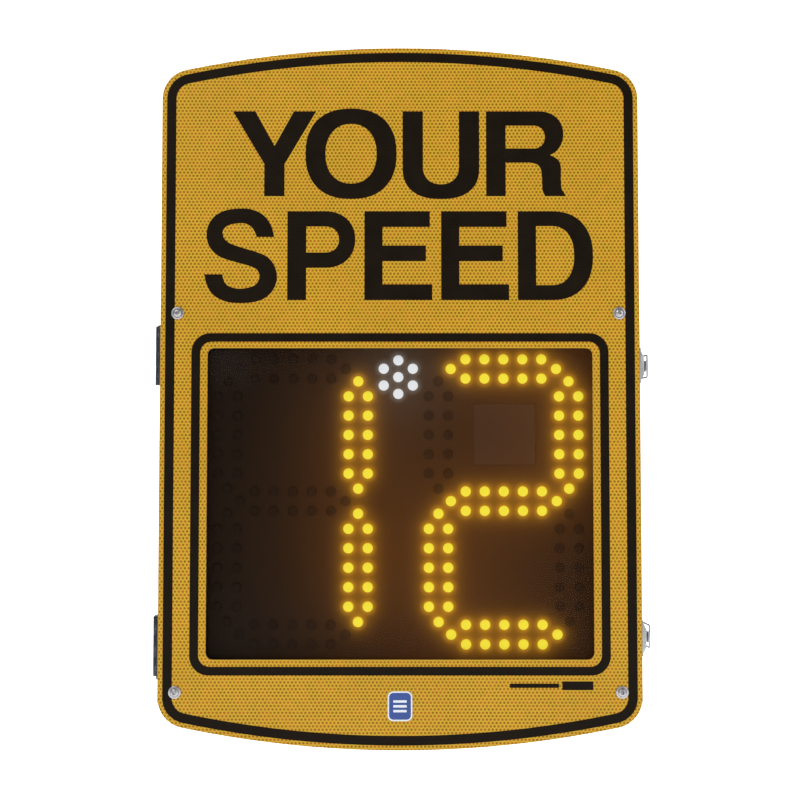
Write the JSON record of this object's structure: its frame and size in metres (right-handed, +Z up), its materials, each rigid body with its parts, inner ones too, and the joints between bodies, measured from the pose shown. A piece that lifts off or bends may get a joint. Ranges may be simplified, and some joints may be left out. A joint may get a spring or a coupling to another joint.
{
  "type": "solar speed sign",
  "caption": "Pole-mounted radar speed display sign with an arched yellow face panel, smoked LED window, hinged door and draw latches.",
  "frame": {"origin": "centre of the flat rear face of the pole rail, level with the middle of the box", "axes": "+Z up, +Y backward out of the rail's face toward the pole, +X to the right seen from the front; the sign faces -Y"},
  "size_m": [0.6383, 0.1701, 0.893],
  "materials": {
    "sheeting": "yellow prismatic sheeting",
    "case_metal": "satin grey powder coat",
    "smoked_lens": "dark smoked, smooth",
    "mask_black": "matt black",
    "board_green": "circuit board",
    "black_plastic": "satin black",
    "seal_rubber": "matt black",
    "hinge_metal": "dark grey, slight sheen",
    "zinc": "bright zinc plate",
    "aluminium": "mill finish",
    "battery_case": "satin blue",
    "white_plastic": "satin white",
    "red_plastic": "glossy red"
  },
  "bodies": {
    "housing": {"housing_shell": "case_metal", "housing_flange": "case_metal", "gland_plate": "case_metal", "pole_rail": "aluminium", "equipment_plate": "aluminium", "battery": "battery_case", "battery_strap": "aluminium", "charge_controller": "black_plastic", "control_board": "board_green", "terminal_block": "white_plastic", "switch_bracket": "aluminium", "power_switch_body": "black_plastic", "cable_gland": "black_plastic", "gland_nut": "black_plastic", "solar_inlet_socket": "black_plastic", "breather_vent": "black_plastic", "rail_bolt_upper_left": "zinc", "rail_bolt_upper_right": "zinc", "rail_bolt_lower_left": "zinc", "rail_bolt_lower_right": "zinc", "standoff_upper_left": "zinc", "standoff_upper_right": "zinc", "standoff_lower_left": "zinc", "standoff_lower_right": "zinc", "hinge_fixed_leaf_upper": "hinge_metal", "hinge_fixed_leaf_lower": "hinge_metal", "hinge_pin_upper": "zinc", "hinge_pin_lower": "zinc", "latch_base_upper": "zinc", "latch_base_lower": "zinc", "latch_pin_upper": "zinc", "latch_pin_lower": "zinc"},
    "door": {"face_panel": "sheeting", "door_frame": "case_metal", "window_lens": "smoked_lens", "lens_retainer": "black_plastic", "display_mask": "mask_black", "led_board_left": "board_green", "led_board_right": "board_green", "strobe_board": "board_green", "radar_module": "white_plastic", "radar_bracket": "aluminium", "display_driver_board": "board_green", "door_gasket": "seal_rubber", "panel_stiffener_left": "aluminium", "panel_stiffener_right": "aluminium", "face_screw_upper_left": "zinc", "face_screw_upper_right": "zinc", "face_screw_lower_left": "zinc", "face_screw_lower_right": "zinc", "hinge_moving_leaf_upper": "hinge_metal", "hinge_moving_leaf_lower": "hinge_metal", "latch_keeper_upper": "zinc", "latch_keeper_lower": "zinc"},
    "upper_lever": {"latch_lever_upper": "zinc"},
    "upper_bail": {"latch_bail_upper": "zinc"},
    "lower_lever": {"latch_lever_lower": "zinc"},
    "lower_bail": {"latch_bail_lower": "zinc"},
    "switch_rocker": {"power_switch_rocker": "red_plastic"}
  },
  "joints": [
    {"name": "door_hinge", "type": "hinge", "parent": "housing", "child": "door", "pos_m": [-0.3122, -0.1323, 0], "axis": [0, 0, -1], "range_deg": [0, 110]},
    {"name": "upper_lever_pivot", "type": "hinge", "parent": "housing", "child": "upper_lever", "pos_m": [0.3115, -0.1063, 0.173], "axis": [0, 0, -1], "range_deg": [0, 150]},
    {"name": "upper_bail_pivot", "type": "hinge", "parent": "upper_lever", "child": "upper_bail", "pos_m": [0.313, -0.0983, 0.173], "axis": [0, 0, -1], "range_deg": [-150, 0]},
    {"name": "lower_lever_pivot", "type": "hinge", "parent": "housing", "child": "lower_lever", "pos_m": [0.3115, -0.1063, -0.173], "axis": [0, 0, -1], "range_deg": [0, 150]},
    {"name": "lower_bail_pivot", "type": "hinge", "parent": "lower_lever", "child": "lower_bail", "pos_m": [0.313, -0.0983, -0.173], "axis": [0, 0, -1], "range_deg": [-150, 0]},
    {"name": "power_switch", "type": "hinge", "parent": "housing", "child": "switch_rocker", "pos_m": [-0.19, -0.0849, 0.14], "axis": [1, 0, 0], "range_deg": [0, 20]}
  ],
  "couplings": [
    {"joint": "upper_bail_pivot", "follows": "upper_lever_pivot", "ratio": -1},
    {"joint": "lower_bail_pivot", "follows": "lower_lever_pivot", "ratio": -1}
  ]
}
